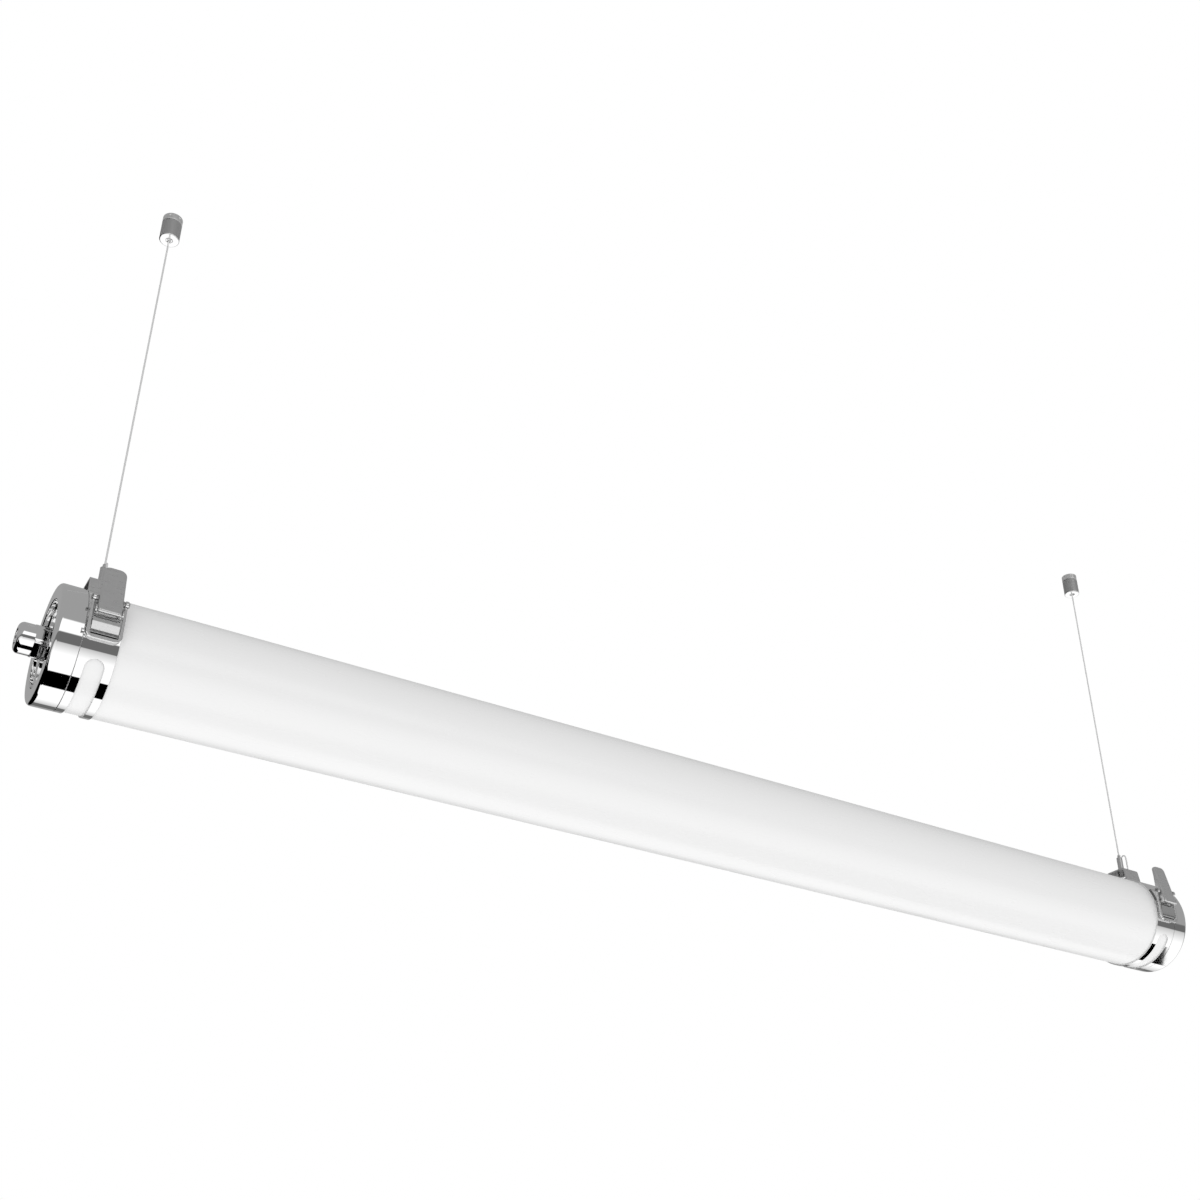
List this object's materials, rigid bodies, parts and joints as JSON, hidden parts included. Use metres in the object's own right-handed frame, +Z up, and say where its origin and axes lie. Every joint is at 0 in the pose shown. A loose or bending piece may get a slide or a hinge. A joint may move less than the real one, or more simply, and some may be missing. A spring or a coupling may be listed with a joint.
{
  "type": "vapor tight light fixture",
  "caption": "Tubular vapor tight light with polished end caps, latched clamp bands and a cable gland, hung from the ceiling on thin wires.",
  "frame": {"origin": "midway between the two ceiling fixings, on the ceiling plane", "axes": "+X along the tube away from the cable gland, -Y towards the side with the latches, +Z up into the ceiling"},
  "size_m": [1.1943, 0.1017, 0.4883],
  "materials": {
    "tube": "satin gloss opal",
    "polished_metal": "polished",
    "satin_steel": "satin",
    "pins": "bright",
    "wire": "stranded",
    "ceiling_metal": "satin with a polished foot",
    "seal": "matte",
    "extrusion": "mill finish",
    "bracket": "matte",
    "board": "solder mask",
    "diode": "phosphor",
    "driver": "satin",
    "terminal": "matte",
    "lead": "gloss"
  },
  "bodies": {
    "ceiling_bases": {"left_ceiling_base": "ceiling_metal", "right_ceiling_base": "ceiling_metal"},
    "pendant": {"diffuser_tube": "tube", "left_end_cap": "polished_metal", "right_end_cap": "polished_metal", "left_clamp_band": "polished_metal", "right_clamp_band": "polished_metal", "left_latch_hook": "polished_metal", "right_latch_hook": "polished_metal", "gland_body": "polished_metal", "left_hanger_bridge": "satin_steel", "right_hanger_bridge": "satin_steel", "left_latch_yoke": "satin_steel", "right_latch_yoke": "satin_steel", "left_gripper_body": "satin_steel", "right_gripper_body": "satin_steel", "left_lever_pin": "pins", "right_lever_pin": "pins", "left_yoke_rivets": "pins", "right_yoke_rivets": "pins", "left_gripper_nut": "pins", "right_gripper_nut": "pins", "bracket_screws": "pins", "shelf_screws": "pins", "gland_locknut": "pins", "left_suspension_wire": "wire", "right_suspension_wire": "wire", "left_wire_tail": "wire", "right_wire_tail": "wire", "left_wire_ball": "wire", "right_wire_ball": "wire", "left_cap_seals": "seal", "right_cap_seals": "seal", "gland_seal": "seal", "gland_gasket": "seal", "led_carrier": "extrusion", "left_carrier_bracket": "bracket", "right_carrier_bracket": "bracket", "circuit_boards": "board", "leds": "diode", "led_driver": "driver", "terminal_block": "terminal", "supply_leads": "lead", "board_leads": "lead"},
    "left_lever": {"left_latch_lever": "satin_steel", "left_bail_pin": "pins"},
    "right_lever": {"right_latch_lever": "satin_steel", "right_bail_pin": "pins"},
    "left_bail": {"left_latch_bail": "satin_steel"},
    "right_bail": {"right_latch_bail": "satin_steel"},
    "left_plunger": {"left_gripper_plunger": "pins"},
    "right_plunger": {"right_gripper_plunger": "pins"},
    "gland_nut": {"gland_nut": "polished_metal"},
    "left_barrel": {"left_ceiling_barrel": "ceiling_metal"},
    "right_barrel": {"right_ceiling_barrel": "ceiling_metal"}
  },
  "joints": [
    {"name": "pendant_swing", "type": "hinge", "parent": "ceiling_bases", "child": "pendant", "pos_m": [0, 0, -0.0205], "axis": [1, 0, 0], "range_deg": [-15, 15]},
    {"name": "left_lever_hinge", "type": "hinge", "parent": "pendant", "child": "left_lever", "pos_m": [-0.5555, -0.0515, -0.432], "axis": [1, 0, 0], "range_deg": [0, 150]},
    {"name": "left_bail_hinge", "type": "hinge", "parent": "left_lever", "child": "left_bail", "pos_m": [-0.5555, -0.05001, -0.422], "axis": [1, 0, 0], "range_deg": [-125, 0]},
    {"name": "left_gripper_release", "type": "slide", "parent": "pendant", "child": "left_plunger", "axis": [0, 0, -1], "range_m": [0, 0.0015], "stiffness_N_per_m": 300, "springref_m": -0.002},
    {"name": "left_ceiling_barrel_thread", "type": "hinge", "parent": "ceiling_bases", "child": "left_barrel", "pos_m": [-0.5555, 0, -0.016], "axis": [0, 0, 1], "continuous": true},
    {"name": "right_lever_hinge", "type": "hinge", "parent": "pendant", "child": "right_lever", "pos_m": [0.5555, -0.0515, -0.432], "axis": [1, 0, 0], "range_deg": [0, 150]},
    {"name": "right_bail_hinge", "type": "hinge", "parent": "right_lever", "child": "right_bail", "pos_m": [0.5555, -0.05001, -0.422], "axis": [1, 0, 0], "range_deg": [-125, 0]},
    {"name": "right_gripper_release", "type": "slide", "parent": "pendant", "child": "right_plunger", "axis": [0, 0, -1], "range_m": [0, 0.0015], "stiffness_N_per_m": 300, "springref_m": -0.002},
    {"name": "right_ceiling_barrel_thread", "type": "hinge", "parent": "ceiling_bases", "child": "right_barrel", "pos_m": [0.5555, 0, -0.016], "axis": [0, 0, 1], "continuous": true},
    {"name": "gland_nut_thread", "type": "hinge", "parent": "pendant", "child": "gland_nut", "pos_m": [-0.594, 0, -0.442], "axis": [-1, 0, 0], "continuous": true}
  ],
  "couplings": [
    {"joint": "left_bail_hinge", "follows": "left_lever_hinge", "ratio": -0.81},
    {"joint": "right_bail_hinge", "follows": "right_lever_hinge", "ratio": -0.81}
  ]
}
